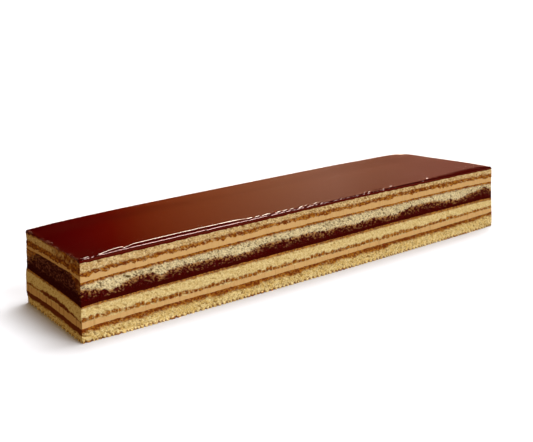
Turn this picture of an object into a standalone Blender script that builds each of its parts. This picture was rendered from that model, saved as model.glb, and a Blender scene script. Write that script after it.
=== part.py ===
"""An opera cake, cut as one long bar.

Four almond sponges are stacked with two coffee buttercreams, a chocolate ganache and a chocolate
glaze. Every layer is one solid that runs right through the cake, from cut side to cut side.

Metres, +Z up, +X along the length. The origin is the middle of the underside.
"""

import math

import bmesh
import bpy

# Driving dimensions of the bar.
LENGTH = 0.2892  # along the underside
WIDTH = 0.0784  # across the underside, at either end
HEIGHT = 0.0423  # at the middle of the length

# How the hand-cut bar departs from a plain block.
LEFT_LEAN = 0.0040  # the top edge of the left end stands this far in from its bottom edge
RIGHT_LEAN = 0.0036
END_SKEW = 0.0004  # how much further in each end stands at the back, and further out in front
LEFT_GROWTH = -0.0007  # how much further out each long side is at the top than at the bottom
RIGHT_GROWTH = 0.0018
BELLY = 0.0016  # swell of each long side at the middle of the length
DROOP = 0.0011  # how much lower the top is at the two ends
CORNER_DROOP = 0.0006  # and again at the four corners
CORNER_REACH = 0.0100  # how far that runs in
CORNER_EASE = 0.0006  # how far a vertical edge is worn back
CUT_WANDER = 0.00022  # unevenness of the cut sides

GAP = 0.0003  # between two layers that touch
WANDER = 0.00028  # unevenness of the surface between two layers
BACK_RISE = 0.0005  # the inner layers lie this much higher along the back
LEFT_RISE_REACH = 0.030  # how far the left end's own rise runs in

# The waves that add up to any unevenness: each one's share, how fast its phase turns along and
# across the bar (radians a metre), and its phase for each step of the seed.
WAVES = (
    (0.45, 53.0, 0.0, 2.1),
    (0.30, 120.0, 67.0, 1.3),
    (0.25, 0.0, 59.0, 0.9),
)

# The glaze is poured: it ends in a rounded rim behind a low raised bead.
RIM_RADIUS = 0.0007
BEAD_HEIGHT = 0.00025
BEAD_PLACE = 0.0011
BEAD_WIDTH = 0.0007
GLAZE_OVERHANG = 0.0003

# Loops of each slab: inner cuts along the length, the width and the height, and how far the
# outermost loops are from the edge.
SLAB_CUTS = (23, 7, 1)
SLAB_BORDER = (0.0, 0.0012)
GLAZE_CUTS = (29, 13, 2)
GLAZE_BORDER = (0.0, 0.0003, 0.0006, 0.0011, 0.0025)

# Sponge, cream and chocolate: base colour in linear light, and roughness.
SPONGE = ("almond_sponge", (0.62, 0.41, 0.16), 0.85)
SOAKED = ("soaked_sponge", (0.30, 0.17, 0.07), 0.75)
CREAM = ("coffee_buttercream", (0.58, 0.34, 0.13), 0.45)
GANACHE = ("chocolate_ganache", (0.035, 0.006, 0.003), 0.35)
GLAZE = ("chocolate_glaze", (0.090, 0.012, 0.004), 0.12)

# Each layer from the bottom up: its name, its material, the height of its top at the left end,
# the middle and the right end, how much that top rises behind the left end's near corner, and
# how far its cut sides bulge.
LAYERS = (
    ("sponge_1", SPONGE, (0.0081, 0.0084, 0.0097), -0.0002, 0.0003),
    ("buttercream_1", CREAM, (0.0107, 0.0114, 0.0128), 0.0006, -0.0001),
    ("sponge_2", SPONGE, (0.0188, 0.0196, 0.0202), 0.0009, 0.0003),
    ("ganache", GANACHE, (0.0213, 0.0218, 0.0223), 0.0008, -0.0001),
    ("sponge_3", SOAKED, (0.0309, 0.0323, 0.0316), 0.0014, 0.0003),
    ("buttercream_2", CREAM, (0.0340, 0.0354, 0.0352), 0.0000, -0.0001),
    ("sponge_4", SPONGE, (0.0399, 0.0405, 0.0403), 0.0000, 0.0002),
    ("glaze", GLAZE, (HEIGHT, HEIGHT, HEIGHT), 0.0, 0.0),
)


def clear_scene():
    for obj in list(bpy.data.objects):
        bpy.data.objects.remove(obj, do_unlink=True)


def make_collection(name):
    collection = bpy.data.collections.new(name)
    bpy.context.scene.collection.children.link(collection)
    return collection


def make_material(name, colour, roughness):
    material = bpy.data.materials.get(name)
    if material is None:
        material = bpy.data.materials.new(name)
        material.use_nodes = True
        shader = material.node_tree.nodes["Principled BSDF"]
        shader.inputs["Base Color"].default_value = (*colour, 1.0)
        shader.inputs["Roughness"].default_value = roughness
        shader.inputs["Metallic"].default_value = 0.0
        material.diffuse_color = (*colour, 1.0)
    return material


def ripple(seed, along, across):
    """A slow unevenness between -1 and 1, different for each seed."""
    return sum(
        share * math.sin(turn_along * along + turn_across * across + phase * seed)
        for share, turn_along, turn_across, phase in WAVES
    )


def through_three(values, s):
    """The parabola with these values at s = -1, 0 and 1."""
    left, middle, right = values
    return middle + 0.5 * (right - left) * s + (0.5 * (left + right) - middle) * s * s


def top_fall(s, t):
    """How far the cake's top lies below HEIGHT, for s and t from -1 to 1 over the plan."""
    from_end = (1.0 - abs(s)) * LENGTH / 2
    from_side = (1.0 - abs(t)) * WIDTH / 2
    corner = math.exp(-math.hypot(from_end, from_side) / CORNER_REACH)
    return DROOP * s * s + CORNER_DROOP * corner


def surface_height(index, s, t):
    """Height of the surface on top of layer index, where -1 is the flat underside."""
    if index < 0:
        return 0.0
    _, _, heights, left_rise, _ = LAYERS[index]
    height = through_three(heights, s)
    if index < len(LAYERS) - 1:
        behind = 0.5 * (t + 1.0)
        from_left = (1.0 + s) * LENGTH / 2
        at_left = math.exp(-from_left / LEFT_RISE_REACH)
        height += left_rise * at_left * math.sin(math.pi / 2 * min(1.0, 2 * behind))
        height += BACK_RISE * behind * math.sin(math.pi * height / HEIGHT)
        height += WANDER * ripple(index, s * LENGTH / 2, t * WIDTH / 2)
    return height * (1.0 - top_fall(s, t) / HEIGHT)


def plan_point(s, t, height):
    """Where the cut sides put the point s, t of the plan at this height."""
    up = height / HEIGHT
    left = -LENGTH / 2 + LEFT_LEAN * up + END_SKEW * t
    right = LENGTH / 2 - RIGHT_LEAN * up - END_SKEW * t
    growth = LEFT_GROWTH + (RIGHT_GROWTH - LEFT_GROWTH) * 0.5 * (s + 1.0)
    half_width = WIDTH / 2 + growth * up + BELLY * (1.0 - s * s)
    return left + (right - left) * 0.5 * (s + 1.0), t * half_width


def push_out(s, t, amount):
    """Offset that moves a point of the outline outwards by amount, and rounds the corners."""
    on_end = abs(s) > 0.999
    on_side = abs(t) > 0.999
    if on_end and on_side:
        amount -= CORNER_EASE
    return (
        math.copysign(amount, s) if on_end else 0.0,
        math.copysign(amount, t) if on_side else 0.0,
    )


def stations(count, border, half):
    """Places from -1 to 1 of count + 2 loops, the outer ones at the border distances."""
    edge = [distance / half for distance in border]
    inner = count + 2 - 2 * len(edge)
    step = (2.0 - 2 * edge[-1]) / (inner + 1)
    middle = [edge[-1] + step * (i + 1) for i in range(inner)]
    return [p - 1.0 for p in edge + middle] + [1.0 - p for p in reversed(edge)]


def lattice_box(cuts):
    """A cube from -1 to 1 whose edges along each axis are cut that many times."""
    mesh = bmesh.new()
    bmesh.ops.create_cube(mesh, size=2.0)
    for axis, count in enumerate(cuts):
        along = [e for e in mesh.edges if abs((e.verts[1].co - e.verts[0].co)[axis]) > 1e-6]
        bmesh.ops.subdivide_edges(mesh, edges=along, cuts=count, use_grid_fill=True)
    return mesh


def glaze_top_shape(s, t):
    """How far the glaze's top stands above its even level: down at the rim, up at the bead."""
    from_end = (1.0 - abs(s)) * LENGTH / 2
    from_side = (1.0 - abs(t)) * WIDTH / 2
    from_edge = min(from_end, from_side)
    inside = max(0.0, RIM_RADIUS - from_edge)
    rim = RIM_RADIUS - math.sqrt(max(0.0, RIM_RADIUS**2 - inside**2))
    bead = math.exp(-(((from_edge - BEAD_PLACE) / BEAD_WIDTH) ** 2))
    return BEAD_HEIGHT * (bead - 1.0) - rim


def shape_layer(mesh, index, cuts, border):
    """Moves the lattice's points to where the layer's surfaces and cut sides are."""
    bulge = LAYERS[index][4]
    is_glaze = index == len(LAYERS) - 1
    along = stations(cuts[0], border, LENGTH / 2)
    across = stations(cuts[1], border, WIDTH / 2)
    for vert in mesh.verts:
        s = along[round((vert.co.x + 1.0) / 2 * (cuts[0] + 1))]
        t = across[round((vert.co.y + 1.0) / 2 * (cuts[1] + 1))]
        rise = 0.5 * (vert.co.z + 1.0)
        low = surface_height(index - 1, s, t) + (GAP / 2 if index else 0.0)
        high = surface_height(index, s, t) - (0.0 if is_glaze else GAP / 2)
        if is_glaze:
            high += glaze_top_shape(s, t)
        height = low + (high - low) * rise
        x, y = plan_point(s, t, height)
        out = bulge * math.sin(math.pi * rise)
        out += CUT_WANDER * ripple(index + 0.5 * rise, x + 2 * y, height)
        if is_glaze:
            out += GLAZE_OVERHANG * math.cos(math.pi / 2 * rise)
        dx, dy = push_out(s, t, out)
        vert.co = (x + dx, y + dy, height)


def make_layer(index, collection):
    name, (material_name, colour, roughness), _, _, _ = LAYERS[index]
    is_glaze = index == len(LAYERS) - 1
    cuts = GLAZE_CUTS if is_glaze else SLAB_CUTS
    border = GLAZE_BORDER if is_glaze else SLAB_BORDER
    shaped = lattice_box(cuts)
    shape_layer(shaped, index, cuts, border)
    mesh = bpy.data.meshes.new(name)
    shaped.to_mesh(mesh)
    shaped.free()
    mesh.materials.append(make_material(material_name, colour, roughness))
    mesh.shade_smooth()
    mesh.set_sharp_from_angle(angle=math.radians(40.0))
    layer = bpy.data.objects.new(name, mesh)
    collection.objects.link(layer)
    return layer


def centre_on_origin(layers):
    """Moves the meshes together so that the whole cake's box is centred over the origin."""
    points = [v.co for layer in layers for v in layer.data.vertices]
    middle_x = (min(p.x for p in points) + max(p.x for p in points)) / 2
    middle_y = (min(p.y for p in points) + max(p.y for p in points)) / 2
    for point in points:
        point.x -= middle_x
        point.y -= middle_y


def main():
    clear_scene()
    collection = make_collection("opera_cake")
    layers = [make_layer(index, collection) for index in range(len(LAYERS))]
    centre_on_origin(layers)


main()
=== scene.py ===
"""The looks of the opera cake: one detailed piece for each of the eight CAD layers.

Lengths are in millimetres, and turn into metres where a mesh is made. The cake's cut sides are
a band that runs all the way round. A column of that band is a place along the outline, counted
from the front left corner along the front, the right end, the back and the left end. Every
layer's band meets its neighbours' along shared lines.
"""

import itertools
import math

import bpy
import numpy as np
from mathutils import Matrix, Vector
from mathutils.bvhtree import BVHTree
from numpy.polynomial.legendre import legvander2d


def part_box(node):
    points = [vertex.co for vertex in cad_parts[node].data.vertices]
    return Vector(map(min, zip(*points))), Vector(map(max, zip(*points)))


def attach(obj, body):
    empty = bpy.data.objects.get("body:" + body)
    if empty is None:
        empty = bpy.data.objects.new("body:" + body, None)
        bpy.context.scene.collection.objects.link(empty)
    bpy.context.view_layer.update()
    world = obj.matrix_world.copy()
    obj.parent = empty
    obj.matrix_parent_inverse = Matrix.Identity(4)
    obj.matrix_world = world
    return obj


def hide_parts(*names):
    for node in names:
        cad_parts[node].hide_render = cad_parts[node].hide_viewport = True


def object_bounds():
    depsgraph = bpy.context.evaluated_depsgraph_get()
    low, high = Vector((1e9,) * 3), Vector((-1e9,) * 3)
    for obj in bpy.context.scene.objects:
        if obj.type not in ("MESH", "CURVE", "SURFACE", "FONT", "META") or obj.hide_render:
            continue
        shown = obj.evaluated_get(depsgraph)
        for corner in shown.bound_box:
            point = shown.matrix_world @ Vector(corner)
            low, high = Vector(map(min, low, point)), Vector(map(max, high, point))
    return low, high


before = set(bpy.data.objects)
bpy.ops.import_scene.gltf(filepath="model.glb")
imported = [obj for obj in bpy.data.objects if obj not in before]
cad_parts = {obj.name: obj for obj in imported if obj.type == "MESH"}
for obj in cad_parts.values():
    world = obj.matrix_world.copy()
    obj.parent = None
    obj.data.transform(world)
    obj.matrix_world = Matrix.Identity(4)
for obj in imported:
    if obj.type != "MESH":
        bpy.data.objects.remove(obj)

MM = 0.001
CAD_LOW, CAD_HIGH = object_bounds()
HALF_LENGTH = (CAD_HIGH.x - CAD_LOW.x) / 2 / MM
HALF_WIDTH = (CAD_HIGH.y - CAD_LOW.y) / 2 / MM
HEIGHT = CAD_HIGH.z / MM
HIGHEST = HEIGHT - 0.03  # the glaze's highest point stays this far under the CAD's
NODES = (
    "sponge_1",
    "buttercream_1",
    "sponge_2",
    "ganache",
    "sponge_3",
    "buttercream_2",
    "sponge_4",
    "glaze",
)

# The band's columns. Each cap halves their number four times, so both are multiples of 16.
LONG_COLUMNS = 960
END_COLUMNS = 272
HALVINGS = 4
COLUMNS = 2 * (LONG_COLUMNS + END_COLUMNS)
FRONT = 2 * HALF_LENGTH
END = 2 * HALF_WIDTH
OUTLINE = 2 * (FRONT + END)

CORNER_RADIUS = 0.45
JOIN_GAP = 0.02  # between two layers that touch
CAP_INSETS = (0.5, 1.2, 2.4, 4.5)

# Folds of the band in the bake's map, and the height of each.
FOLDS = 8
FOLD_HEIGHT = 0.108
FOLD_MARGIN = 0.004


# ---------------------------------------------------------------- noise

def hashed(cells, seed):
    """One random number from 0 to 1 for each whole-number cell of space."""
    mixed = np.full(cells.shape[:-1], seed * 2654435761 % 2**32, np.uint32)
    for axis, factor in enumerate((0x85EBCA6B, 0xC2B2AE35, 0x27D4EB2F)):
        mixed ^= cells[..., axis].astype(np.uint32) * np.uint32(factor)
        mixed ^= mixed >> np.uint32(15)
        mixed *= np.uint32(0x2C1B3C6D)
        mixed ^= mixed >> np.uint32(12)
    return mixed / 2.0**32


def noise(points, size, seed):
    """Smooth noise from 0 to 1 with features of this size."""
    scaled = points / size
    cell = np.floor(scaled).astype(np.int64)
    part = scaled - cell
    part = part * part * (3.0 - 2.0 * part)
    total = 0.0
    for corner in itertools.product((0, 1), repeat=3):
        weight = np.prod(np.where(corner, part, 1.0 - part), axis=-1)
        total = total + weight * hashed(cell + np.array(corner), seed)
    return total


def fractal(points, size, seed, octaves=3):
    """Noise from -1 to 1, with ever finer and weaker noise added."""
    total, weight, whole = 0.0, 1.0, 0.0
    for octave in range(octaves):
        total = total + weight * (2.0 * noise(points, size, seed + 31 * octave) - 1.0)
        whole += weight
        size, weight = size * 0.5, weight * 0.55
    return total / whole


def bubbles(points, size, seed, share, radii=(0.25, 0.55)):
    """Round holes cut through: 1 in the middle of one and 0 outside. A share of cells has one."""
    scaled = points / size
    cell = np.floor(scaled).astype(np.int64)
    deepest = np.zeros(points.shape[:-1])
    for offset in itertools.product((-1, 0, 1), repeat=3):
        near = cell + np.array(offset)
        middle = near + np.stack([hashed(near, seed + axis) for axis in range(3)], axis=-1)
        radius = radii[0] + (radii[1] - radii[0]) * hashed(near, seed + 3)
        apart = ((scaled - middle) ** 2).sum(axis=-1) / radius**2
        there = hashed(near, seed + 4) < share
        deepest = np.maximum(deepest, np.where(there, 1.0 - apart, 0.0))
    return deepest


def ramp(values, low, high):
    """Rises smoothly from 0 at low to 1 at high."""
    part = np.clip((values - low) / (high - low), 0.0, 1.0)
    return part * part * (3.0 - 2.0 * part)


def spots(points, size, seed, low, high):
    """Spots of noise: 0 where it is under low and 1 where it is over high."""
    return ramp(fractal(points, size, seed), low, high)


def beads(along, widths, seed):
    """Breaks the outline up into beads: 0 at a bead's ends and 1 at its middle, and its chance."""
    rng = np.random.default_rng(seed)
    edges = np.cumsum(rng.uniform(*widths, int(OUTLINE / widths[0])))
    edges = np.concatenate([[0.0], edges[edges < OUTLINE - widths[0]], [OUTLINE]])
    which = np.searchsorted(edges, along, side="right") - 1
    part = (along - edges[which]) / (edges[which + 1] - edges[which])
    return 4.0 * part * (1.0 - part), rng.random(len(edges))[which]


# ---------------------------------------------------------------- the cake's form, from the CAD

def smooth_fit(u, v, values, degrees):
    """A smooth function of two coordinates from -1 to 1 that follows the samples."""
    factors = np.linalg.lstsq(legvander2d(u, v, degrees), values, rcond=None)[0]
    return lambda u, v: legvander2d(u, v, degrees) @ factors


ASIDE = (0.13, 0.17, 0.11)  # keeps rays off the edges of the CAD's faces
ABOVE = 60.0  # a height over the whole cake, from which rays go down
UNDER = -10.0  # and one from which they go up
OUTSIDE = 200.0  # a distance clear of the cake, from which rays go in
SPONGES = NODES[::2]  # thick enough to be met at one height all along
TREES = {
    name: BVHTree.FromObject(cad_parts[name], bpy.context.evaluated_depsgraph_get())
    for name in NODES
}


def cast(tree, start, direction):
    """Where a ray, in millimetres, meets a CAD solid."""
    aside = [0.0 if d else a for a, d in zip(ASIDE, direction)]
    hit = tree.ray_cast((Vector(start) + Vector(aside)) * MM, Vector(direction))[0]
    return np.array(hit) / MM


def side_fit(axis, sign):
    """How far out a cut side is, for a place along it and a height, both from -1 to 1."""
    along, heights, found = [], [], []
    for name in SPONGES:
        low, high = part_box(name)
        height = (low.z + high.z) / 2 / MM
        for part in np.linspace(-0.85, 0.85, 14):
            start = [0.0, 0.0, height]
            start[axis] = sign * OUTSIDE
            start[1 - axis] = part * (HALF_LENGTH if axis else HALF_WIDTH)
            direction = [0.0, 0.0, 0.0]
            direction[axis] = -sign
            along.append(part)
            heights.append(height / HEIGHT * 2 - 1)
            found.append(cast(TREES[name], start, direction)[axis])
    return smooth_fit(np.array(along), np.array(heights), np.array(found), (2, 1))


def surface_fit(below, above):
    """Height of the surface between two layers, for a point of the plan from -1 to 1."""
    s, t = np.meshgrid(np.linspace(-0.97, 0.97, 32), np.linspace(-0.94, 0.94, 12))
    s, t = s.ravel(), t.ravel()
    x, y = s * HALF_LENGTH * 0.985, t * HALF_WIDTH * 0.955
    tops = [cast(TREES[below], (a, b, ABOVE), (0, 0, -1))[2] for a, b in zip(x, y)]
    undersides = [cast(TREES[above], (a, b, UNDER), (0, 0, 1))[2] for a, b in zip(x, y)]
    return smooth_fit(s, t, (np.array(tops) + np.array(undersides)) / 2, (9, 4))


TOP_RAISE = 0.10  # the poured top stands this much over the CAD's flat level
BACK_LIFT = 0.45  # and this much more along the back
RIGHT_LIFT = 0.40  # and at the right end
CORNER_REACH = 10.0  # how far the glaze's top falls towards a corner


def top_basis(s, t):
    """What the flat glaze's height is a sum of: smooth terms, and a fall to the corners."""
    from_corner = np.hypot((1 - np.abs(s)) * HALF_LENGTH, (1 - np.abs(t)) * HALF_WIDTH)
    return np.column_stack([legvander2d(s, t, (4, 2)), np.exp(-from_corner / CORNER_REACH)])


def top_fit():
    """Height of the flat glaze, carried on to the edges."""
    s, t = np.meshgrid(np.linspace(-0.975, 0.975, 40), np.linspace(-0.92, 0.92, 14))
    s, t = s.ravel(), t.ravel()
    x, y = s * (HALF_LENGTH - 4.0), t * (HALF_WIDTH - 1.0)
    flat = np.array([cast(TREES["glaze"], (a, b, ABOVE), (0, 0, -1))[2] for a, b in zip(x, y)])
    factors = np.linalg.lstsq(top_basis(s, t), flat + TOP_RAISE, rcond=None)[0]

    def height(s, t):
        z = top_basis(s, t) @ factors
        z = z + BACK_LIFT * ramp(t, 0.3, 1.0) + RIGHT_LIFT * ramp(s, 0.7, 1.0)
        return np.minimum(z, HIGHEST)

    return height


LEFT, RIGHT = side_fit(0, -1), side_fit(0, 1)
NEAR, FAR = side_fit(1, -1), side_fit(1, 1)
SURFACES = [surface_fit(a, b) for a, b in zip(NODES, NODES[1:])] + [top_fit()]


def surface_height(index, s, t):
    """Height of the smooth surface on top of layer index, where -1 is the flat underside."""
    if index < 0:
        return np.zeros_like(s)
    return SURFACES[index](s.ravel(), t.ravel()).reshape(s.shape)


# How much further out each end stands, by the height: it makes up for the crumb that the relief
# takes away, and the cut bulges a little.
LEFT_OUT = ((0, 0.15), (6, 0.3), (42, 0.3))
LEFT_BACK_OUT = ((3, 0.0), (7, 0.65), (17, 0.6), (21, 0.0))  # and this much more at the back
RIGHT_OUT = ((0, 0.15), (4, 0.38), (8, 0.5), (12, 0.5), (20, 0.4), (25, 0.4), (31, 0.8),
             (36, 1.3), (39, 1.3), (41, 0.7), (42, 0.5))


def plan_point(s, t, height):
    """x and y of a point of the plan, from -1 to 1 each way, at this height."""
    up = height / HEIGHT * 2 - 1
    left_out = np.interp(height, *np.array(LEFT_OUT).T)
    left_out = left_out + 0.5 * (t + 1) * np.interp(height, *np.array(LEFT_BACK_OUT).T)
    left = LEFT(t, up) - left_out
    right = RIGHT(t, up) + np.interp(height, *np.array(RIGHT_OUT).T)
    x = left + (right - left) * (s + 1) / 2
    near, far = NEAR(s, up), FAR(s, up)
    return x, near + (far - near) * (t + 1) / 2


def points_at(s, t, height):
    """Points at these places of the plan and these heights."""
    x, y = plan_point(s.ravel(), t.ravel(), height.ravel())
    return np.stack([x.reshape(height.shape), y.reshape(height.shape), height], axis=-1)


class Band:
    """The columns round the outline: where they are on the plan and which way is out."""

    def __init__(self, step=1):
        long = np.arange(LONG_COLUMNS) / LONG_COLUMNS * 2 - 1
        end = np.arange(END_COLUMNS) / END_COLUMNS * 2 - 1
        on_long, on_end = np.ones(LONG_COLUMNS), np.ones(END_COLUMNS)
        self.s = np.concatenate([long, on_end, -long, -on_end])[::step]
        self.t = np.concatenate([-on_long, end, on_long, -end])[::step]
        self.on_long = (np.abs(self.t) == 1.0) & (np.abs(self.s) < 1.0)
        side_step = np.repeat([FRONT / LONG_COLUMNS, END / END_COLUMNS] * 2,
                              [LONG_COLUMNS, END_COLUMNS] * 2)
        self.along = (np.cumsum(side_step) - side_step)[::step]
        self.corner = np.where(
            self.on_long,
            (1 - np.abs(self.s)) * HALF_LENGTH,
            (1 - np.abs(self.t)) * HALF_WIDTH,
        )
        self.turn = math.pi / 4 * np.clip(1 - self.corner / CORNER_RADIUS, 0, 1)
        side, over = np.cos(self.turn), np.sin(self.turn)
        sign_s, sign_t = np.sign(self.s), np.sign(self.t)
        normal_x = np.where(self.on_long, over, side) * sign_s
        normal_y = np.where(self.on_long, side, over) * sign_t
        self.normal = np.stack([normal_x, normal_y, np.zeros_like(normal_x)], axis=-1)

    def plan(self, inset):
        """s and t of the columns on a line this far in from the cut sides."""
        radius = np.maximum(CORNER_RADIUS - inset, 0.0)
        kept = CORNER_RADIUS - radius
        arc = kept * self.corner / CORNER_RADIUS + radius * (1 - np.sin(self.turn))
        along = np.where(self.corner < CORNER_RADIUS, arc, self.corner)
        inwards = inset + radius * (1 - np.cos(self.turn))
        far = np.where(self.on_long, HALF_LENGTH, HALF_WIDTH)
        along = along + inset * (1 - self.corner / far)
        from_end = np.where(self.on_long, along, inwards)
        from_side = np.where(self.on_long, inwards, along)
        s = np.sign(self.s) * (1 - from_end / HALF_LENGTH)
        t = np.sign(self.t) * (1 - from_side / HALF_WIDTH)
        return s, t


BAND = Band()
ON_END = 1.0 - BAND.on_long
FROM_BACK = (1 - BAND.t) * HALF_WIDTH
RINGS = [Band(2**level) for level in range(HALVINGS + 1)]


# ---------------------------------------------------------------- the lines between the layers

# How much higher the line over a layer lies than its smooth surface, by the layer's number and
# the place along the outline.
SHIFTS = {
    0: ((0, -0.3), (7, 0.1), (100, 0.2), (150, 0.35), (220, 0.3), (280, 0.2), (664, 0.0),
        (673, -0.4), (706, 0.0), (742, -0.45)),
    2: ((0, -0.3), (7, 0.2), (150, 0.45), (280, 0.5), (660, 0.3), (672, 0.35), (708, 0.0),
        (742, -0.25)),
    4: ((0, 0.2), (7, 0.0), (180, 0.0), (230, 0.25), (288, 0.25), (300, 0.0), (660, 0.0),
        (672, -0.6), (690, -0.45), (706, -0.15), (722, 0.25), (736, 1.1), (748, 0.9)),
    5: ((0, 0.1), (6, 0.0), (716, 0.0), (734, 0.6), (748, 0.5)),
    6: ((0, 0.9), (6, 0.35), (14, 0.2), (26, 0.0), (36, -0.25), (60, -0.25), (150, -0.1),
        (285, 0.05), (296, 0.6), (370, 0.6), (382, 0.2), (655, 0.4), (668, 1.8), (745, 1.9)),
}
# How far a line wavers.
WAVER = {0: 0.28, 2: 0.22, 3: 0.22, 4: 0.28, 6: 0.3}
END_WAVER = {6: 0.45}  # on the ends, where it differs
DASHES = ((1.8, 4.0), 21)  # widths and seed of the brown beads over the lower cream
DETAIL_REACH = 1.5  # how far in from the cut sides a line's detail is felt
RIM_ROOM = 0.35  # the least height of the glaze's side


def foot_beads(along):
    """The lumps along the foot, which are wider on the ends."""
    on_long, on_end = beads(along, (1.2, 3.6), 12), beads(along, (2.5, 7.0), 13)
    return [np.where(ON_END > 0, b, a) for a, b in zip(on_long, on_end)]


def line_detail(index):
    """How the line over a layer departs from its smooth surface, along the cut sides."""
    along = BAND.along
    points = np.stack([along, np.zeros_like(along), np.zeros_like(along)], axis=-1)
    if index == -1:  # the underside, which lifts off here and there
        lift = spots(points, 8.0, 11, -0.1, 0.7)
        bumps, chance = foot_beads(along)
        return 0.05 * lift + (0.7 + 0.4 * ON_END) * chance * (1 - bumps) ** 3
    if index == 1:  # the row of small brown beads
        bumps, chance = beads(along, *DASHES)
        return 0.4 - (0.1 + 0.9 * chance) * bumps**0.6 + 0.3 * fractal(points, 1.4, 22)
    shift = 0.0
    if index in SHIFTS:
        places, heights = np.array(SHIFTS[index]).T
        shift = np.interp(along, places, heights, period=OUTLINE)
    if index == 5:  # ragged lumps that hang into the cream
        bumps, chance = beads(along, (2.6, 7.5), 31)
        small, small_chance = beads(along, (0.9, 2.0), 32)
        hang = (0.1 + 1.1 * chance) * bumps**0.5
        hang = hang + 0.7 * small_chance * small
        return shift + 0.6 - hang + 0.4 * fractal(points, 1.8, 33)
    waver = WAVER.get(index, 0.0)
    waver = np.where(ON_END > 0, END_WAVER.get(index, waver), waver)
    return shift + waver * fractal(points, 2.6, 40 + index)


def glaze_depth():
    """How thick the glaze is at each column."""
    s, t = BAND.plan(0.0)
    return surface_height(7, s, t) - surface_height(6, s, t)


DETAILS = {index: line_detail(index) for index in range(-1, 8)}
DETAILS[6] = np.minimum(DETAILS[6], glaze_depth() - RIM_ROOM)


def edge_line(index):
    """Height of the line over a layer at each column."""
    s, t = BAND.plan(0.0)
    return surface_height(index, s, t) + DETAILS[index]


# ---------------------------------------------------------------- pieces

class Shape:
    """The points and faces of one piece, gathered before its mesh is made."""

    def __init__(self, masks):
        self.count = 0
        self.points, self.faces, self.uvs = [], [], []
        self.masks = {name: [] for name in masks}

    def add_points(self, points, masks):
        """Adds points and returns their numbers, laid out as the points are."""
        self.points.append(points.reshape(-1, 3))
        for name, values in self.masks.items():
            value = np.broadcast_to(masks.get(name, 0.0), points.shape[:-1])
            values.append(value.ravel())
        first = self.count
        self.count += points.size // 3
        return np.arange(first, self.count).reshape(points.shape[:-1])

    def add_faces(self, faces, uv):
        corners = faces.shape[-1]
        self.faces.append(faces.reshape(-1, corners))
        self.uvs.append(uv.reshape(-1, corners, 2))

    def make(self, node, material):
        """The finished piece, which stands for the CAD node."""
        mesh = bpy.data.meshes.new(node + "_look")
        points = np.concatenate(self.points) * MM
        mesh.vertices.add(len(points))
        mesh.vertices.foreach_set("co", points.ravel())
        sizes = np.concatenate([np.full(len(f), f.shape[1]) for f in self.faces])
        corners = np.concatenate([f.ravel() for f in self.faces])
        mesh.loops.add(len(corners))
        mesh.loops.foreach_set("vertex_index", corners)
        mesh.polygons.add(len(sizes))
        mesh.polygons.foreach_set("loop_start", np.cumsum(sizes) - sizes)
        mesh.update(calc_edges=True)
        uv = np.concatenate([u.ravel() for u in self.uvs])
        mesh.uv_layers.new(name="OFBake").data.foreach_set("uv", uv)
        for name, values in self.masks.items():
            attribute = mesh.attributes.new(name, "FLOAT", "POINT")
            attribute.data.foreach_set("value", np.concatenate(values))
        mesh.materials.append(material)
        mesh.shade_smooth()
        mesh.set_sharp_from_angle(angle=math.radians(65))
        piece = bpy.data.objects.new(node + "_look", mesh)
        bpy.context.scene.collection.objects.link(piece)
        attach(piece, "root")
        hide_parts(node)
        return piece


def add_band(shape, numbers, heights, fold_height=FOLD_HEIGHT):
    """Faces between the rows of a band; heights run from 0 to 1 up the rows."""
    beside = np.roll(numbers, -1, axis=1)
    faces = np.stack([numbers[:-1], beside[:-1], beside[1:], numbers[1:]], axis=-1)
    per_fold = COLUMNS // FOLDS
    column = np.arange(COLUMNS)
    u = (column % per_fold) / per_fold
    fold = column // per_fold
    u_next = u + 1 / per_fold
    v = fold * fold_height + heights[:, None] * (fold_height - FOLD_MARGIN)
    low, high = v[:-1], v[1:]
    corners = [(u, low), (u_next, low), (u_next, high), (u, high)]
    uv = np.stack([np.stack(np.broadcast_arrays(a, b), axis=-1) for a, b in corners], axis=-2)
    shape.add_faces(faces, uv)


def plan_inside(ring, inset):
    """s and t of a ring's columns, or of the (s, t) of a lattice drawn in to the same inset."""
    if isinstance(ring, Band):
        return ring.plan(inset)
    return ring[0] * (1 - inset / HALF_LENGTH), ring[1] * (1 - inset / HALF_WIDTH)


def corners_around(outer, inner):
    """The corners of the faces between a ring and the next one in, which has half its columns."""
    after = np.roll(outer, -2, axis=0)
    return [outer[0::2], outer[1::2], after[0::2], np.roll(inner, -1, axis=0), inner]


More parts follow.
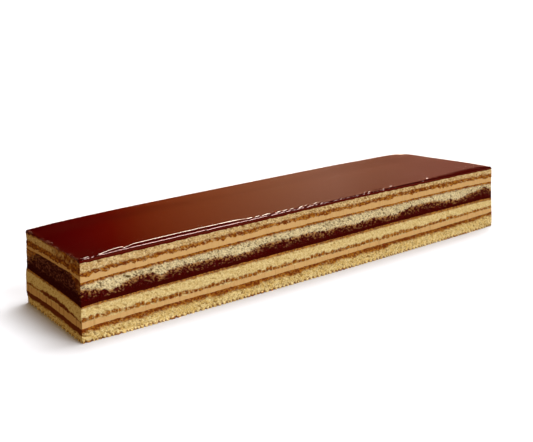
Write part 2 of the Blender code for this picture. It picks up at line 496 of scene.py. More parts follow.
def add_cap(shape, rim, rim_points, point_at, insets, upwards, uv_box, masks):
    """Closes a rim with rings that halve their columns, and a lattice inside them.

    point_at(ring, inset) gives a ring's points, and point_at((s, t), inset) the lattice's.
    """
    def uv_of(points):
        u = uv_box[0] + (points[..., 0] / HALF_LENGTH + 1.01) / 2.02 * uv_box[2]
        v = uv_box[1] + (points[..., 1] / HALF_WIDTH + 1.01) / 2.02 * uv_box[3]
        return np.stack([u, v], axis=-1)

    def add(faces, uv):
        if not upwards:
            faces, uv = faces[..., ::-1], uv[..., ::-1, :]
        shape.add_faces(faces, uv)

    outer, outer_uv = rim, uv_of(rim_points)
    for ring, inset in zip(RINGS[1:], insets):
        points = point_at(ring, inset)
        inner, inner_uv = shape.add_points(points, masks), uv_of(points)
        add(np.stack(corners_around(outer, inner), axis=-1),
            np.stack(corners_around(outer_uv, inner_uv), axis=-2))
        outer, outer_uv = inner, inner_uv

    nx, ny = LONG_COLUMNS >> HALVINGS, END_COLUMNS >> HALVINGS
    s, t = np.meshgrid(np.linspace(-1, 1, nx + 1)[1:-1], np.linspace(-1, 1, ny + 1)[1:-1])
    points = point_at((s, t), insets[-1])
    inside, inside_uv = shape.add_points(points, masks), uv_of(points)

    def lattice(ring, inside):
        grid = np.empty((ny + 1, nx + 1) + ring.shape[1:], ring.dtype)
        grid[0] = ring[: nx + 1]
        grid[:, nx] = ring[nx : nx + ny + 1]
        grid[ny, ::-1] = ring[nx + ny : 2 * nx + ny + 1]
        grid[::-1, 0] = np.concatenate([ring[2 * nx + ny :], ring[:1]])
        grid[1:-1, 1:-1] = inside
        return [grid[:-1, :-1], grid[:-1, 1:], grid[1:, 1:], grid[1:, :-1]]

    add(np.stack(lattice(outer, inside), axis=-1),
        np.stack(lattice(outer_uv, inside_uv), axis=-2))


def cap_placer(index, offset, rim_relief):
    """Places a hidden cap on the surface over layer index, moved up or down by offset."""
    def point_at(ring, inset):
        s, t = plan_inside(ring, inset)
        detail, shift = 0.0, 0.0
        if isinstance(ring, Band):
            step = 2 ** RINGS.index(ring)
            fade = math.exp(-inset / DETAIL_REACH)
            detail = DETAILS[index][::step] * fade
            shift = (rim_relief[::step] * fade)[:, None] * ring.normal
        return points_at(s, t, surface_height(index, s, t) + detail + offset) + shift

    return point_at


ALONG_END = np.array([1.0, 0.5, 1.0])  # the ends' features are twice as long as tall
SLANT = 0.45  # the crumb's holes lie aslant, running down to the right
SLANT_STRETCH = np.array([0.6, 0.6, 1.2])


def slanted(points):
    """Points to read noise at, so that its features lie aslant and are longer than tall."""
    moved = points * ALONG_END
    moved[..., 2] += SLANT * (moved[..., 0] + moved[..., 1])
    return moved * SLANT_STRETCH


class Cut:
    """The cut side of one layer as a grid of points, bottom row first."""

    def __init__(self, index, rows):
        self.low = edge_line(index - 1) + (JOIN_GAP / 2 if index else 0.0)
        high = edge_line(index) - JOIN_GAP / 2
        self.index = index
        self.rise = np.linspace(0, 1, rows + 1)
        self.z = self.low + (high - self.low) * self.rise[:, None]
        self.along = np.broadcast_to(BAND.along, self.z.shape)
        s, t = [np.broadcast_to(place, self.z.shape) for place in BAND.plan(0.0)]
        self.points = points_at(s, t, self.z)
        self.slanted = slanted(self.points)

    def relative(self, index):
        """Height over the smooth surface on top of layer index."""
        s, t = BAND.plan(0.0)
        return self.z - surface_height(index, s, t)


# Boxes in the bake's map: left, bottom, width and height.
HIDDEN_CAPS = ((0.02, 0.90, 0.30, 0.08), (0.40, 0.90, 0.30, 0.08))
OUTWARDS_LIMIT = 0.1  # how far any relief may stand out from the CAD's cut sides


def make_layer(cut, relief, masks, material, flare=0.0):
    """A slab with a detailed cut side all round and plain hidden caps.

    relief is how far each point of the cut side stands out, up to a limit, and flare is added.
    """
    node = NODES[cut.index]
    shape = Shape(masks)
    relief = np.minimum(relief, OUTWARDS_LIMIT) + flare
    points = cut.points + relief[..., None] * BAND.normal
    numbers = shape.add_points(points, masks)
    add_band(shape, numbers, cut.rise)
    inside = {name: values.mean() for name, values in masks.items()}
    under = cap_placer(cut.index - 1, JOIN_GAP / 2 if cut.index else 0.0, relief[0])
    over = cap_placer(cut.index, -JOIN_GAP / 2, relief[-1])
    add_cap(shape, numbers[0], points[0], under, CAP_INSETS, False, HIDDEN_CAPS[0], inside)
    add_cap(shape, numbers[-1], points[-1], over, CAP_INSETS, True, HIDDEN_CAPS[1], inside)
    return shape.make(node, material)


# ---------------------------------------------------------------- materials

NOISE_ROUGHNESS = 0.55


class Nodes:
    """A tree of shader nodes, with a short call for each kind that is used."""

    def __init__(self, tree):
        self.tree = tree

    def node(self, kind, **settings):
        node = self.tree.nodes.new(kind)
        for name, value in settings.items():
            setattr(node, name, value)
        return node

    def put(self, value, socket):
        """Links a value to an input if it is another node's output, and sets it if not."""
        if isinstance(value, bpy.types.NodeSocket):
            self.tree.links.new(value, socket)
        else:
            socket.default_value = value

    def feed(self, node, **values):
        """Puts values in a node's inputs, which are named with _ for a space."""
        for name, value in values.items():
            self.put(value, node.inputs[name.replace("_", " ")])
        return node

    def span(self, value, low, high, out_low=0.0, out_high=1.0):
        """Maps low..high to out_low..out_high, smoothly and with an end at both."""
        node = self.node("ShaderNodeMapRange", interpolation_type="SMOOTHSTEP")
        self.feed(node, Value=value, From_Min=low, From_Max=high, To_Min=out_low,
                  To_Max=out_high)
        return node.outputs["Result"]

    def math(self, operation, first, second):
        node = self.node("ShaderNodeMath", operation=operation)
        self.put(first, node.inputs[0])
        self.put(second, node.inputs[1])
        return node.outputs[0]

    def mix(self, factor, first, second):
        """A colour between two, each of them a node's output or three numbers."""
        node = self.node("ShaderNodeMix", data_type="RGBA")
        self.put(factor, node.inputs[0])
        for colour, socket in ((first, node.inputs[6]), (second, node.inputs[7])):
            self.put((*colour, 1.0) if isinstance(colour, tuple) else colour, socket)
        return node.outputs[2]


class Look(Nodes):
    """A material and its nodes."""

    def __init__(self, name):
        self.material = bpy.data.materials.new(name)
        self.material.use_nodes = True
        super().__init__(self.material.node_tree)
        self.shader = self.tree.nodes["Principled BSDF"]
        self.place = self.node("ShaderNodeTexCoord").outputs["Object"]

    def shine(self, level):
        self.shader.inputs["Specular IOR Level"].default_value = level
        self.shader.inputs["IOR"].default_value = 1.5

    def mask(self, name):
        return self.node("ShaderNodeAttribute", attribute_name=name).outputs["Fac"]

    def noise(self, size, stretch=(1, 1, 1), detail=3.0):
        """Noise from 0 to 1 with features of this many millimetres."""
        mapping = self.node("ShaderNodeMapping")
        self.feed(mapping, Vector=self.place, Scale=[1 / (size * MM * k) for k in stretch])
        texture = self.node("ShaderNodeTexNoise")
        self.feed(texture, Vector=mapping.outputs[0], Scale=1.0, Detail=detail,
                  Roughness=NOISE_ROUGHNESS)
        return texture.outputs["Fac"]

    def bump(self, height, depth):
        """Bump from a height of 0 to 1 that stands for this many millimetres."""
        node = self.feed(self.node("ShaderNodeBump"), Height=height, Distance=depth * MM,
                         Strength=1.0)
        self.feed(self.shader, Normal=node.outputs[0])


# Browned crust, and sponge that is soaked in chocolate, each with a second colour.
CRUST, CRUST_DARK = (0.48, 0.205, 0.026), (0.17, 0.034, 0.005)
SOAK, SOAK_LIGHT, SOAK_STREAK = (0.052, 0.0004, 0.0003), (0.19, 0.06, 0.055), (0.24, 0.09, 0.07)
# Colour of the painted shade in the cream's knife grooves.
CREAM_GROOVE_SHADE = (0.36, 0.17, 0.05)


def sponge_look(name, crumb, shade, pore_shade_colour, grain_share):
    """Crumb with a mottled second colour, painted shade in its holes and in noise specks, and
    crust, char and soaking where masked; the char mask also paints shade at the lowest sponge's
    foot.
    """
    look = Look(name)
    look.shine(0.08)
    mottle = look.span(look.noise(1.6), 0.38, 0.62)
    colour = look.mix(mottle, crumb, shade)
    # Noise specks and the crumb's holes take a darker colour: painted shade.
    grain = look.span(look.noise(0.7, stretch=(1.2, 1.2, 0.8), detail=2.0), 0.44, 0.64)
    colour = look.mix(look.math("MULTIPLY", grain, grain_share), colour, pore_shade_colour)
    colour = look.mix(look.mask("pore_shade"), colour, pore_shade_colour)
    burnt = look.span(look.noise(1.2, stretch=(1.0, 2.2, 0.9)), 0.38, 0.62)
    burnt = look.mix(burnt, CRUST, CRUST_DARK)
    colour = look.mix(look.mask("crust"), colour, burnt)
    # Char darkens to the dark crust colour; at the lowest sponge's foot this is painted shade.
    colour = look.mix(look.mask("char"), colour, CRUST_DARK)
    wet = look.span(look.noise(0.9, stretch=(1.0, 2.2, 0.9)), 0.5, 0.75, 0.0, 0.5)
    wet = look.mix(wet, SOAK, SOAK_LIGHT)
    streaks = look.span(look.noise(1.0, stretch=(1.0, 2.4, 0.8), detail=2.0), 0.50, 0.62)
    wet = look.mix(look.math("MULTIPLY", look.mask("streaks"), streaks), wet, SOAK_STREAK)
    colour = look.mix(look.mask("soak"), colour, wet)
    look.feed(look.shader, Base_Color=colour,
              Roughness=look.span(look.mask("soak"), 0.0, 1.0, 0.85, 0.6))
    look.bump(look.noise(0.35, detail=3.0), 0.12)
    return look.material


def cream_look(name, colour, streak):
    look = Look(name)
    look.shine(0.15)
    tint = look.span(look.noise(2.5, stretch=(0.4, 0.4, 6.0)), 0.4, 0.75)
    mixed = look.mix(look.math("MULTIPLY", tint, 0.35), colour, streak)
    # Painted shade along the knife grooves.
    mixed = look.mix(look.mask("groove_shade"), mixed, CREAM_GROOVE_SHADE)
    look.feed(look.shader, Base_Color=mixed, Roughness=look.span(tint, 0, 1, 0.45, 0.6))
    look.bump(look.noise(0.5, stretch=(0.6, 0.6, 2.0)), 0.03)
    return look.material


def ganache_look(name):
    look = Look(name)
    look.shine(0.05)
    blot = look.span(look.noise(1.5), 0.35, 0.7)
    colour = look.mix(blot, (0.050, 0.002, 0.001), (0.060, 0.003, 0.002))
    look.feed(look.shader, Base_Color=colour, Roughness=look.span(blot, 0, 1, 0.45, 0.6))
    look.bump(look.noise(0.6), 0.08)
    return look.material


def glaze_look(name):
    look = Look(name)
    look.shine(0.5)
    cloud = look.span(look.noise(18.0, stretch=(2.0, 1.0, 1.0)), 0.3, 0.7)
    base = look.mix(cloud, (0.025, 0.0002, 0.0004), (0.028, 0.0004, 0.0005))
    base = look.mix(look.mask("rim"), base, (0.11, 0.002, 0.001))
    base = look.mix(look.mask("crumbs"), base, (0.075, 0.022, 0.012))
    smooth = look.span(look.noise(9.0), 0.3, 0.7, 0.05, 0.08)
    dull = look.span(look.mask("crumbs"), 0.0, 1.0, 0.0, 0.5)
    look.feed(look.shader, Base_Color=base, Roughness=look.math("ADD", smooth, dull))
    look.bump(look.noise(14.0, detail=1.0), 0.02)
    return look.material


# ---------------------------------------------------------------- sponge

def crumb(cut, seed):
    """Relief of cut sponge, and the painted shade in its holes."""
    large = bubbles(cut.slanted, 2.0, seed, 0.14)
    middle = bubbles(cut.slanted, 1.0, seed + 10, 0.45)
    small = bubbles(cut.slanted, 0.7, seed + 20, 0.6)
    lumps = fractal(cut.slanted, 1.6, seed + 30)
    relief = 0.15 * lumps - 0.36 * large - 0.28 * middle - 0.18 * small
    # How much painted shade darkens each hole of the crumb.
    pore_shade = np.clip(1.5 * large + 1.7 * middle + 1.3 * small - 0.4, 0.0, 1.0)
    return relief - 0.05, pore_shade


def between(values, low, high, edge):
    """1 from low to high, and 0 further than edge outside that."""
    return ramp(values, low - edge, low) * (1 - ramp(values, high, high + edge))


# ---------------------------------------------------------------- the eight layers

# How far out the foot stands, by the place along the outline.
FOOT_FLARE = ((0, 0.0), (6, 0.3), (20, 0.9), (48, 0.9), (62, 0.5), (120, 0.5), (200, 0.6),
              (280, 0.6), (291, 0.0), (375, 0.0), (385, 0.5), (655, 0.5), (666, 0.0))


def make_sponge_1(look):
    cut = Cut(0, 28)
    relief, pore_shade = crumb(cut, 100)
    below_top = -cut.relative(0)
    wander = 1.1 * fractal(cut.points, 6.0, 120) + 0.9 * fractal(cut.slanted, 1.0, 121)
    depth = below_top + wander
    deeper = 0.25 * (1 - ramp(BAND.s, 0.0, 0.8)) + 0.9 * ON_END
    crust = 1 - ramp(depth, 1.5 + deeper, 3.3 + deeper)
    char = 0.85 * spots(cut.points, 1.6, 124, -0.35, 0.25)
    char = char * (1 - ramp(np.abs(depth - 0.6), 0.3, 1.2))
    char = np.maximum(char, 0.8 * crust * spots(cut.slanted, 0.8, 126, 0.15, 0.4))
    crust = crust * (1 - 0.5 * spots(cut.slanted, 0.8, 127, 0.2, 0.5))
    ragged = 1.2 * fractal(cut.points * ALONG_END, 3.0, 125)
    char = np.where(ON_END > 0, 1 - ramp(below_top + 0.5 * wander + ragged, 2.6, 3.5), char)
    # The foot: browned lumps, with painted shade and an undercut between them.
    up = cut.z - cut.low
    bumps, chance = foot_beads(cut.along)
    baked = spots(cut.points, 14.0, 128, -0.1, 0.3) * (1 - ON_END)
    foot = baked * ramp(chance, 0.3, 0.7) * (1 - ramp(up, 0.3, 1.2))
    # Painted shade between the lumps, darkest low down.
    painted_foot_shade = 0.95 * (1 - ramp(up + 0.3 * wander, 0.5, 1.5)) * (1 - bumps) ** 0.6
    undercut = 1 - ramp(up, 0.0, 1.6)
    relief = relief - 0.9 * undercut * (1 - bumps)
    flare = np.interp(BAND.along, *np.array(FOOT_FLARE).T) * undercut * (1 - ON_END)
    masks = {
        # Painted shade in the crumb's holes, less where it is crusted.
        "pore_shade": pore_shade * (1 - 0.5 * crust),
        "crust": np.maximum(crust, foot),
        # The char mask also takes the painted shade at the foot.
        "char": np.maximum(char, painted_foot_shade),
    }
    return make_layer(cut, relief, masks, look, flare)


def make_buttercream(look, index, rows, seed, marks):
    """Smooth cream with upright knife marks of this strength."""
    cut = Cut(index, rows)
    level = fractal(cut.points * np.array([1, 1, 0.25]), 1.8, seed)
    groove, chance = beads(cut.along, (4.0, 9.0), seed + 1)
    line = (1 - ramp(groove, 0.0, 0.25 + 0.3 * ON_END)) * marks * ramp(chance, 0.2, 0.8)
    line = line * np.where(ON_END > 0, 1.3, 1.0)
    relief = -0.12 + 0.05 * level - 0.12 * line
    # Painted shade in the knife grooves, stronger on the ends.
    masks = {"groove_shade": np.clip(0.4 * line + 0.4 * line * ON_END, 0, 1)}
    return make_layer(cut, relief, masks, look)


# How high the middle of the brown line is over the cream at an end, from the back to the front.
END_LINE = ((0, 0.8), (20, 0.8), (32, 1.5), (52, 1.5), (70, 0.0), (84, -0.1))


def make_sponge_2(look):
    cut = Cut(2, 25)
    relief, pore_shade = crumb(cut, 200)
    bumps, chance = beads(cut.along, *DASHES)
    middle = 1.12 + 0.6 * fractal(cut.points, 4.0, 222) + 0.9 * (chance - 0.5)
    on_end = np.interp(FROM_BACK, *np.array(END_LINE).T)
    on_end = on_end + 0.9 * fractal(cut.points * ALONG_END, 1.8, 224)
    middle = np.where(ON_END > 0, on_end, middle) + 0.8 * fractal(cut.slanted, 0.9, 220)
    strong = between(FROM_BACK, 30, 75, 6) * ON_END
    half = 0.5 + 0.6 * bumps**0.5 * (0.4 + 0.6 * chance)
    half = np.where(ON_END > 0, 0.45 + 0.4 * strong, half)
    line = 1 - ramp(np.abs(cut.relative(1) - middle), 0.7 * half, 1.7 * half)
    line = line * np.maximum(0.25 + 0.75 * ramp(bumps, 0.0, 0.3), ON_END)
    char = line * (0.5 * spots(cut.slanted, 0.9, 223, -0.1, 0.3) + 0.7 * strong)
    line = line * (1 - 0.6 * spots(cut.slanted, 0.8, 225, 0.2, 0.5))
    border = 1 - ramp(-cut.relative(2) + 0.6 * fractal(cut.points, 1.5, 221), 0.4, 1.5)
    masks = {
        # Painted shade in the crumb's holes.
        "pore_shade": pore_shade * 0.8,
        "crust": np.maximum(line, 0.9 * border),
        "char": np.clip(char, 0, 1),
    }
    return make_layer(cut, relief * 0.8, masks, look)


def make_ganache(look):
    cut = Cut(3, 7)
    relief = -0.1 + 0.08 * fractal(cut.points, 2.0, 300)
    return make_layer(cut, relief, {}, look)


# Height of the chocolate's upper limit in the soaked sponge: along the front from the left, and
# along an end from the front.
SOAK_FRONT = (
    (0, 26.0), (8, 25.0), (15, 22.8), (20, 23.5), (27, 26.2), (38, 26.3), (43, 23.6), (48, 26.0),
    (74, 26.0), (88, 24.4), (96, 25.0), (108, 27.0), (122, 26.3), (136, 26.8), (148, 25.5),
    (158, 26.3), (172, 25.2), (184, 26.2), (196, 25.3), (204, 24.6), (214, 27.1), (234, 27.3),
    (246, 25.6), (258, 24.2), (270, 25.8), (285, 27.7),
)
SOAK_END = ((1, 24.5), (5, 25.5), (9, 30.0), (13, 31.5), (18, 34.0), (60, 34.0), (66, 31.5),
            (70, 29.0), (75, 27.5), (82, 26.0))
# How much of the sponge is soaked, by the depth below that limit.
SOAKED = ((-1.4, 0.0), (-0.6, 0.12), (0.0, 0.30), (0.6, 0.50), (1.6, 0.72), (2.6, 0.86),
          (3.6, 0.95), (4.6, 1.1))


def soak_line():
    """The chocolate's upper limit at each column."""
    rng = np.random.default_rng(44)
    table = list(SOAK_FRONT)
    table += [(FRONT + x, z) for x, z in SOAK_END]
    back = FRONT + END
    steps = np.arange(6, FRONT - 4, 13)
    table += [(back + x, 25.6 + rng.uniform(-2, 1.8)) for x in steps]
    table += [(back + FRONT + END - x, z) for x, z in reversed(SOAK_END)]
    x, z = np.array(table).T
    return np.interp(BAND.along, x, z, period=OUTLINE)


def make_sponge_3(look):
    cut = Cut(4, 33)
    relief, pore_shade = crumb(cut, 400)
    depth = soak_line() - cut.z + 0.6 * fractal(cut.points, 2.4, 420)
    speckle = 0.6 * noise(cut.slanted, 0.55, 421) + 0.4 * noise(cut.points, 0.9, 424)
    full = np.interp(depth, *np.array(SOAKED).T)
    soak = ramp(full - ramp(speckle, 0.28, 0.72), -0.04, 0.07)
    soak = np.maximum(soak, 0.55 * ramp(depth, -0.1, 2.4))
    below = -cut.relative(4) + 0.9 * fractal(cut.slanted, 1.0, 422)
    thin = 0.35 * ramp(BAND.s, -0.5, 0.7) * (1 - ON_END)
    crust = np.maximum(1 - ramp(below + thin, 0.8, 2.2), 0.85 * ramp(depth, -1.1, 0.5))
    char = (0.7 - thin) * spots(cut.slanted, 0.9, 423, 0.05, 0.3)
    char = char * (1 - ramp(np.abs(below - 1.0), 0.2, 0.8))
    specks = between(below, 1.4, 4.5, 0.6) * spots(cut.slanted, 0.7, 425, 0.2, 0.4)
    browned = ON_END * (0.85 + 0.25 * fractal(cut.points, 2.0, 426))
    reddened = ON_END * ramp(FROM_BACK, 64, 74) * spots(cut.points, 2.5, 427, -0.7, 0.1)
    masks = {
        # Painted shade in the crumb's holes, and dark specks of the same painted shade in the pale
        # crumb.
        "pore_shade": np.maximum(0.7 * pore_shade, specks),
        "crust": np.clip(np.maximum(crust, browned), 0, 1),
        "char": np.maximum(char, reddened),
        "soak": soak,
        "streaks": ON_END * between(cut.z, 24.0, 31.5, 1.0),
    }
    return make_layer(cut, relief, masks, look)


def make_sponge_4(look):
    cut = Cut(6, 20)
    relief, pore_shade = crumb(cut, 600)
    wander = 0.7 * fractal(cut.points, 3.2, 620) + 0.8 * fractal(cut.points, 1.0, 621)
    above = cut.relative(5) - 1.0 * ON_END - 0.4 * ramp(BAND.s, -0.6, 0.0) * (1 - ON_END)
    crust = 1 - ramp(above + wander, 1.5, 2.5)
    near_front = ON_END * ramp(FROM_BACK + 6 * fractal(cut.points, 9.0, 623), 42, 62)
    crust = np.maximum(crust, near_front * spots(cut.points, 2.0, 624, -0.7, 0.2))
    char = crust * spots(cut.slanted, 0.9, 622, -0.05, 0.3) * (0.75 + 0.1 * ON_END)
    crust = crust * (1 - 0.6 * spots(cut.slanted, 0.8, 625, 0.1, 0.4) * (1 - ON_END))
    smeared = ON_END * (cut.relative(6) + 0.8 * fractal(cut.slanted, 1.4, 626))
    masks = {
        # Painted shade in the crumb's holes.
        "pore_shade": pore_shade,
        "crust": np.maximum(crust, 0.9 * ramp(smeared, 0.4, 1.3)),
        "char": char,
        "soak": 0.85 * ramp(smeared, 1.1, 1.9),
    }
    return make_layer(cut, relief, masks, look)


# Glaze: rows up its side, round its rim and over its top's border, then the flat top.
RIM_RADIUS = 0.7
SIDE_INSET = 0.10  # how far in the top of the glaze's side is
SIDE_BULGE = 0.28  # how much further out its foot is
SIDE_TUCK = 0.12  # and how far its very lowest edge is drawn back in
UNDER_INSET = 0.15
GLAZE_SIDE_ROWS = 4
GLAZE_RIM_STEPS = 6
GLAZE_TOP_INSETS = (
    0.9, 1.1, 1.3, 1.6, 1.9, 2.2, 2.5, 2.8, 3.1, 3.4, 3.7, 4.0,
    4.25, 4.5, 4.75, 5.0, 5.25, 5.5, 5.75, 6.0, 6.25, 6.5, 6.8,
)
GLAZE_CAP_INSETS = (7.4, 8.5, 10.0, 13.0)
# Its places in the bake's map.
GLAZE_FOLD_HEIGHT = 0.06
GLAZE_CAPS = ((0.02, 0.50, 0.6, 0.17), (0.005, 0.70, 0.99, 0.27))
WELT_DROP = 1.4  # how wide the welt's steep inner side is
# The top's border along the front: the place from the left, how far in its steep inner side is,
# how high the welt stands over the flat level, and how far it then falls towards the rim.
FRONT_BORDER = (
    (0, 1.6, 0.02, 0.15), (8, 1.6, 0.06, 0.15), (11, 1.8, 0.10, 0.20), (13, 3.3, 0.16, 0.25),
    (16, 4.4, 0.18, 0.27), (20.5, 4.6, 0.18, 0.27), (21.8, 2.0, 0.14, 0.20),
    (23.0, 2.0, 0.15, 0.20), (26, 5.0, 0.17, 0.27), (29, 5.4, 0.19, 0.27),
    (45, 5.4, 0.21, 0.27), (78, 5.4, 0.21, 0.27), (86, 5.2, 0.16, 0.25), (92, 4.4, 0.10, 0.24),
    (97, 3.4, 0.07, 0.22), (102, 3.0, 0.07, 0.2), (112, 2.6, 0.05, 0.2), (126, 2.1, 0.04, 0.2),
    (150, 1.9, 0.02, 0.2), (200, 1.9, 0.02, 0.22), (228, 2.2, 0.01, 0.24), (240, 3.6, 0.0, 0.32),
    (258, 5.6, 0.0, 0.50), (275, 6.6, 0.0, 0.62), (291, 6.6, 0.0, 0.62),
)
# Slanted strokes over it: the place from the left, their depth, and how far in they run.
STROKES = (
    (0, 0.22, 2.8), (9, 0.18, 2.4), (12, 0.08, 1.8), (24, 0.14, 2.2), (40, 0.12, 2.2),
    (70, 0.14, 2.4), (92, 0.18, 3.6), (104, 0.22, 4.6), (145, 0.22, 4.2), (156, 0.08, 3.0),
    (164, 0.20, 4.4), (188, 0.26, 5.0), (214, 0.18, 4.4), (222, 0.24, 5.0), (238, 0.18, 4.6),
    (248, 0.04, 4.0), (291, 0.02, 4.0),
)
STROKE_SLANT = 1.7
END_FALL = 0.12  # how far the top falls towards the left end's rim
END_REACH = 2.5  # and how far in that begins


def along_front(table):
    """The table's columns after its first, read at each column of the band."""
    table = np.array(table)
    return [np.interp(BAND.along, table[:, 0], table[:, k]) for k in range(1, table.shape[1])]


def border_relief(inset):
    """How far the top's border stands over the flat level, this far in."""
    along = BAND.along
    points = np.stack([along, 0 * along, 0 * along], axis=-1)
    on_front = (BAND.t == -1.0) & BAND.on_long
    place, tall, fall = along_front(FRONT_BORDER)
    depth, reach = along_front(STROKES)
    place = place + 0.25 * fractal(points, 5.0, 700)
    tall = tall * (1 + 0.3 * fractal(points, 4.0, 702))
    left_end = (along > OUTLINE - END) * ramp(OUTLINE - along, 0.0, 4.0)
    place = np.where(on_front, place, END_REACH + WELT_DROP / 2)
    tall = np.where(on_front, tall, 0.0)
    fall = np.where(on_front, fall * ramp(FRONT - along, 0.0, 8.0), END_FALL * left_end)
    crest = np.maximum(place - WELT_DROP / 2, 0.8)
    relief = tall * (1 - ramp(inset, crest, crest + WELT_DROP))
    relief = relief - fall * np.clip(1 - inset / crest, 0, 1) ** 1.3
    slanted_points = points - np.array([STROKE_SLANT * inset, 0.0, -0.2 * inset])
    stroke = fractal(slanted_points, 2.4, 703, octaves=2) * on_front
    return relief + depth * stroke * ramp(inset, 0.0, 0.8) * (1 - ramp(inset, 0.5 * reach, reach))


def glaze_rows():
    """How far in each row of the glaze is, its heights, and its share of the side's colour."""
    under = edge_line(6) + JOIN_GAP / 2
    s, t = BAND.plan(0.0)
    rim = surface_height(7, s, t) + border_relief(RIM_RADIUS)
    shoulder = rim - np.minimum(0.9 * RIM_RADIUS, 0.7 * (rim - under))
    rows = []
    for part in np.linspace(0, 1, GLAZE_SIDE_ROWS + 1):
        out = SIDE_BULGE * math.cos(math.pi / 2 * part) - SIDE_TUCK * (1 - part) ** 6
        rows.append((SIDE_INSET - out, under + (shoulder - under) * part, 1.0 - 0.6 * part))
    for step in range(1, GLAZE_RIM_STEPS + 1):
        turn = math.pi / 2 * step / GLAZE_RIM_STEPS
        inset = RIM_RADIUS * (1 - math.cos(turn)) + SIDE_INSET
        rows.append((inset, shoulder + (rim - shoulder) * math.sin(turn), 0.0))
    for inset in GLAZE_TOP_INSETS:
        s, t = BAND.plan(inset)
        height = surface_height(7, s, t) + border_relief(inset)
        rows.append((inset, np.minimum(height, HIGHEST), 0.0))
    return rows


def make_glaze(look):
    rows = glaze_rows()
    placed = []
    for inset, height, _ in rows:
        s, t = BAND.plan(max(inset, 0.0))
        placed.append(points_at(s, t, height) + max(-inset, 0.0) * BAND.normal)
    placed = np.array(placed)
    insets, _, side_share = zip(*rows)
    worn = BAND.along > OUTLINE - END
    crumbs = fractal(slanted(placed), 1.5, 705) - 0.35 * np.array(insets)[:, None]
    masks = {"rim": np.array(side_share)[:, None], "crumbs": worn * ramp(crumbs, -0.4, 0.3)}
    shape = Shape(masks)
    numbers = shape.add_points(placed, masks)
    lengths = np.linalg.norm(np.diff(placed, axis=0), axis=-1).mean(axis=1)
    rise = np.concatenate([[0], np.cumsum(lengths)]) / lengths.sum()
    add_band(shape, numbers, rise, GLAZE_FOLD_HEIGHT)

    def top(ring, inset):
        s, t = plan_inside(ring, inset)
        return points_at(s, t, surface_height(7, s, t))

    under = cap_placer(6, JOIN_GAP / 2, np.full(COLUMNS, UNDER_INSET))
    add_cap(shape, numbers[-1], placed[-1], top, GLAZE_CAP_INSETS, True, GLAZE_CAPS[1], {})
    add_cap(shape, numbers[0], placed[0], under, CAP_INSETS, False, GLAZE_CAPS[0], {})
    return shape.make("glaze", look)


# ---------------------------------------------------------------- studio

FLOOR_COLOUR = (0.57, 0.59, 0.635)


def make_floor():
    bpy.ops.mesh.primitive_plane_add(size=60.0, location=(0, 0, 0))
    floor = bpy.context.object
    floor.name = "floor"
    look = Look("floor")
    look.shine(0.0)
    look.feed(look.shader, Base_Color=(*FLOOR_COLOUR, 1), Roughness=0.9)
    floor.data.materials.append(look.material)
    floor.visible_diffuse = False
    floor.visible_glossy = False


# Suns: the direction each stands in, its strength, and how many degrees across it is.
LIGHTS = {
    "front": ((0.26, -0.72, 0.64), 2.2, 30.0),
    "top": ((0.406, 0.116, 0.906), 4.7, 38.0),
}


def make_lights():
    for name, (direction, strength, angle) in LIGHTS.items():
        light = bpy.data.lights.new(name, "SUN")
        light.energy = strength
        light.angle = math.radians(angle)
        lamp = bpy.data.objects.new(name, light)
        lamp.rotation_mode = "QUATERNION"
        lamp.rotation_quaternion = Vector(direction).to_track_quat("Z", "Y")
        lamp.visible_glossy = False
        bpy.context.scene.collection.objects.link(lamp)


BACKDROP = (1.2, 1.2, 1.2)  # what the camera sees past the floor
FILL = (0.335, 0.217, 0.102)  # the light from all round on whatever isn't glossy
# What the glaze mirrors, by its bearing in degrees from +X towards +Y.
HORIZON = (
    (30, (0.44, 0.17, 0.105)),
    (36, (0.47, 0.18, 0.115)),
    (44, (0.51, 0.20, 0.125)),
    (48, (0.52, 0.215, 0.115)),
    (51, (0.64, 0.29, 0.17)),
    (55, (0.60, 0.235, 0.11)),
    (60, (0.52, 0.145, 0.045)),
    (64, (0.41, 0.075, 0.015)),
    (67, (0.26, 0.010, 0.0)),
    (70, (0.12, 0.001, 0.0)),
    (73, (0.02, 0.0, 0.0)),
    (140, (0.0, 0.0, 0.0)),
)
OVERHEAD = (0.11, 0.012, 0.004)  # what it mirrors higher up
OVERHEAD_HEIGHTS = (0.255, 0.315)
BENEATH = (0.06, 0.008, 0.004)  # and from under the horizon
BENEATH_HEIGHTS = (-0.06, 0.0)
LOW_LIGHT = (9.0, 8.0, 6.6)  # the pale table that the welt's inner side mirrors
LOW_BEARINGS = (30, 40, 72, 84)
LOW_HEIGHTS = (0.06, 0.12)
SOFTBOX_DIRECTION = (0.425, -0.24, 0.872)
SOFTBOX_LIGHT = (62.0, 40.0, 37.0)
SOFTBOX_EDGE = (0.970, 0.990)  # cosines of the angles from its middle where it ends and is full


def bearing_colours(nodes, bearing):
    """What the glaze mirrors at the horizon, and the fill's colour elsewhere."""
    part = nodes.feed(nodes.node("ShaderNodeMapRange"), Value=bearing, From_Min=-math.pi,
                      From_Max=math.pi)
    colours = nodes.node("ShaderNodeValToRGB")
    elements = colours.color_ramp.elements
    elements[0].position, elements[0].color = 0.0, (*FILL, 1)
    elements[1].position, elements[1].color = 1.0, (*FILL, 1)
    for degrees, colour in ((0, FILL), *HORIZON):
        elements.new((degrees + 180) / 360).color = (*colour, 1)
    nodes.put(part.outputs["Result"], colours.inputs[0])
    return colours.outputs[0]


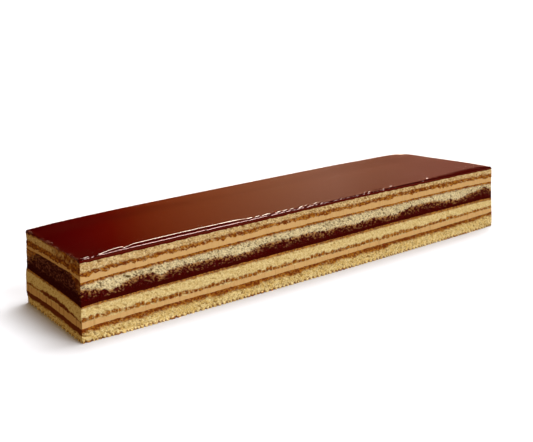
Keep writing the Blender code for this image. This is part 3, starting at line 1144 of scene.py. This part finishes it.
def make_world():
    world = bpy.data.worlds.new("studio")
    world.use_nodes = True
    bpy.context.scene.world = world
    nodes = Nodes(world.node_tree)
    nodes.tree.nodes.clear()
    direction = nodes.node("ShaderNodeTexCoord").outputs["Generated"]
    split = nodes.feed(nodes.node("ShaderNodeSeparateXYZ"), Vector=direction).outputs
    up = split["Z"]
    bearing = nodes.math("ARCTAN2", split["Y"], split["X"])
    mirrored = bearing_colours(nodes, bearing)
    mirrored = nodes.mix(nodes.span(up, *OVERHEAD_HEIGHTS), mirrored, OVERHEAD)
    mirrored = nodes.mix(nodes.span(up, *BENEATH_HEIGHTS), BENEATH, mirrored)

    begin, full, still, end = (math.radians(a) for a in LOW_BEARINGS)
    ahead = nodes.math("MULTIPLY", nodes.span(bearing, begin, full),
                       nodes.span(bearing, still, end, 1, 0))
    low_down = nodes.math("MULTIPLY", nodes.span(up, *LOW_HEIGHTS, 1, 0), ahead)
    mirrored = nodes.mix(low_down, mirrored, LOW_LIGHT)

    toward = nodes.node("ShaderNodeVectorMath", operation="DOT_PRODUCT")
    nodes.put(direction, toward.inputs[0])
    nodes.put(SOFTBOX_DIRECTION, toward.inputs[1])
    in_softbox = nodes.span(toward.outputs["Value"], *SOFTBOX_EDGE)
    mirrored = nodes.mix(in_softbox, mirrored, SOFTBOX_LIGHT)

    rays = nodes.node("ShaderNodeLightPath").outputs
    light = nodes.mix(rays["Is Glossy Ray"], FILL, mirrored)
    light = nodes.mix(rays["Is Camera Ray"], light, BACKDROP)
    background = nodes.feed(nodes.node("ShaderNodeBackground"), Color=light)
    nodes.put(background.outputs[0], nodes.node("ShaderNodeOutputWorld").inputs[0])


# The camera was fitted to the photo's outline of the cake.
CAMERA_PLACE = (-0.27237, -0.38922, 0.14679)
CAMERA_YAW, CAMERA_PITCH, CAMERA_ROLL = 55.92, 14.34, -3.61
CAMERA_LENS = 54.97


def make_camera():
    data = bpy.data.cameras.new("camera")
    data.lens = CAMERA_LENS
    data.sensor_width = 36.0
    data.clip_start, data.clip_end = 0.01, 100.0
    camera = bpy.data.objects.new("camera", data)
    yaw, pitch, roll = (math.radians(a) for a in (CAMERA_YAW, CAMERA_PITCH, CAMERA_ROLL))
    forward = Vector((math.cos(yaw) * math.cos(pitch), math.sin(yaw) * math.cos(pitch),
                      -math.sin(pitch)))
    level = Vector((math.sin(yaw), -math.cos(yaw), 0.0))
    upright = level.cross(forward)
    right = math.cos(roll) * level + math.sin(roll) * upright
    up = math.cos(roll) * upright - math.sin(roll) * level
    camera.matrix_world = Matrix.Translation(CAMERA_PLACE) @ Matrix(
        (right, up, -forward)).transposed().to_4x4()
    bpy.context.scene.collection.objects.link(camera)
    bpy.context.scene.camera = camera


# ---------------------------------------------------------------- everything together

def main():
    make_camera()
    make_floor()
    make_lights()
    make_world()
    bpy.context.scene.view_settings.view_transform = "Standard"
    golden = sponge_look("golden_sponge", (0.92, 0.80, 0.42), (0.78, 0.60, 0.23),
                         (0.28, 0.14, 0.02), 0.55)
    plain = sponge_look("plain_sponge", (0.90, 0.79, 0.43), (0.80, 0.66, 0.31),
                        (0.46, 0.29, 0.08), 0.45)
    pale = sponge_look("soaked_sponge", (0.93, 0.86, 0.57), (0.84, 0.74, 0.45),
                       (0.11, 0.065, 0.02), 0.42)
    upper = sponge_look("upper_sponge", (0.89, 0.75, 0.43), (0.71, 0.52, 0.24),
                        (0.26, 0.12, 0.03), 0.55)
    cream = cream_look("buttercream", (0.745, 0.505, 0.228), (0.60, 0.35, 0.13))
    make_sponge_1(golden)
    make_buttercream(cream, 1, 9, 150, 1.0)
    make_sponge_2(plain)
    make_ganache(ganache_look("ganache"))
    make_sponge_3(pale)
    make_buttercream(cream, 5, 10, 550, 0.2)
    make_sponge_4(upper)
    make_glaze(glaze_look("glaze"))


main()
